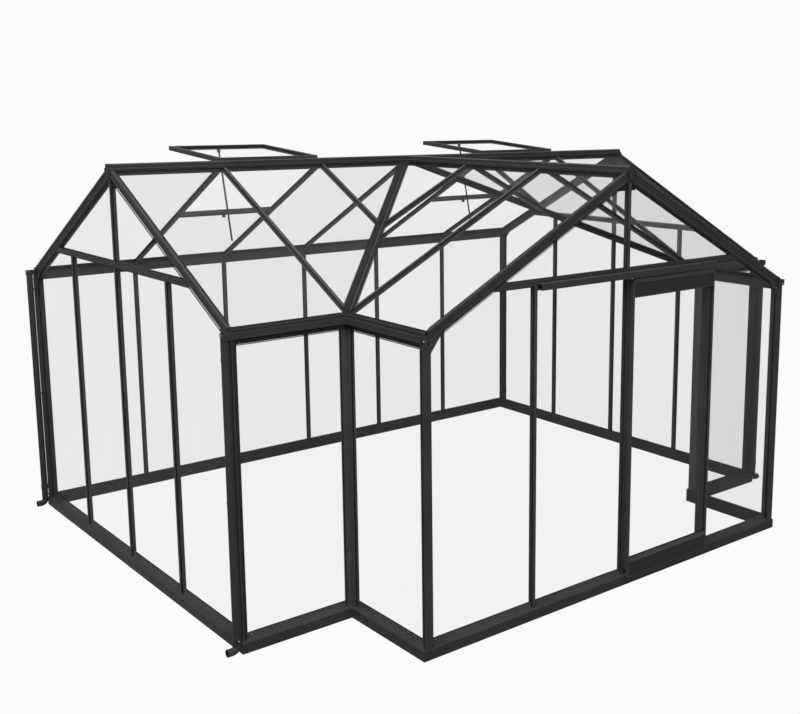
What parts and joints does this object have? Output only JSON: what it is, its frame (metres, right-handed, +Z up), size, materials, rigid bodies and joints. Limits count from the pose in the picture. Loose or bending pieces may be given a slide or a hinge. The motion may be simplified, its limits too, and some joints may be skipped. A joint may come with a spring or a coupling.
{
  "type": "conservatory",
  "caption": "T-shaped free-standing conservatory of dark aluminium and glass, with open roof vents, gutters with downpipes and a sliding door in the gable of the front wing.",
  "frame": {"origin": "centre of the outline on the ground plane under the sills", "axes": "+X along the main ridge to the right, +Y to the back wall, +Z up; the wing with the door looks along -Y"},
  "size_m": [4.616, 3.788, 2.6477],
  "materials": {
    "frame_metal": "anthracite powder coat, satin",
    "rainwater": "anthracite powder coat, satin",
    "door_metal": "anthracite powder coat, satin",
    "door_panels": "anthracite powder-coated sheet, satin",
    "runners": "moulded wheels on zinc-plated hangers",
    "glass": "clear toughened glass, 4 mm"
  },
  "bodies": {
    "house": {"apex_plates": "frame_metal", "back_gutter": "rainwater", "back_roof_bars": "frame_metal", "back_roof_glass": "glass", "back_wall_bars": "frame_metal", "back_wall_glass": "glass", "corner_posts": "frame_metal", "door_guide": "door_metal", "door_rail": "door_metal", "downpipes": "rainwater", "eave_gussets": "frame_metal", "front_gutters": "rainwater", "front_roof_bars": "frame_metal", "front_roof_glass": "glass", "front_side_glass": "glass", "gutter_end_caps": "rainwater", "inner_corner_posts": "frame_metal", "left_gable_bars": "frame_metal", "left_gable_glass": "glass", "left_gable_rafters": "frame_metal", "left_transom": "frame_metal", "main_ridge": "frame_metal", "ridge_end_plates": "frame_metal", "right_gable_bars": "frame_metal", "right_gable_glass": "glass", "right_gable_rafters": "frame_metal", "right_transom": "frame_metal", "sill_back": "frame_metal", "sill_front_sides": "frame_metal", "sill_left": "frame_metal", "sill_right": "frame_metal", "sill_wing_front": "frame_metal", "sill_wing_sides": "frame_metal", "valley_bars": "frame_metal", "vent_frames": "frame_metal", "vent_glass": "glass", "vent_sills": "frame_metal", "vent_stays": "frame_metal", "wing_gable_bars": "frame_metal", "wing_gable_glass": "glass", "wing_gable_rafters": "frame_metal", "wing_gutters": "rainwater", "wing_ridge": "frame_metal", "wing_roof_bars": "frame_metal", "wing_roof_glass": "glass", "wing_side_glass": "glass", "wing_transom": "frame_metal"},
    "door": {"door_frame": "door_metal", "door_head_panel": "door_panels", "door_glass": "glass", "door_kick_panel": "door_panels", "door_hangers": "runners"}
  },
  "joints": [
    {"name": "door_slide", "type": "slide", "parent": "house", "child": "door", "axis": [-1, 0, 0], "range_m": [0, 0.7]}
  ]
}
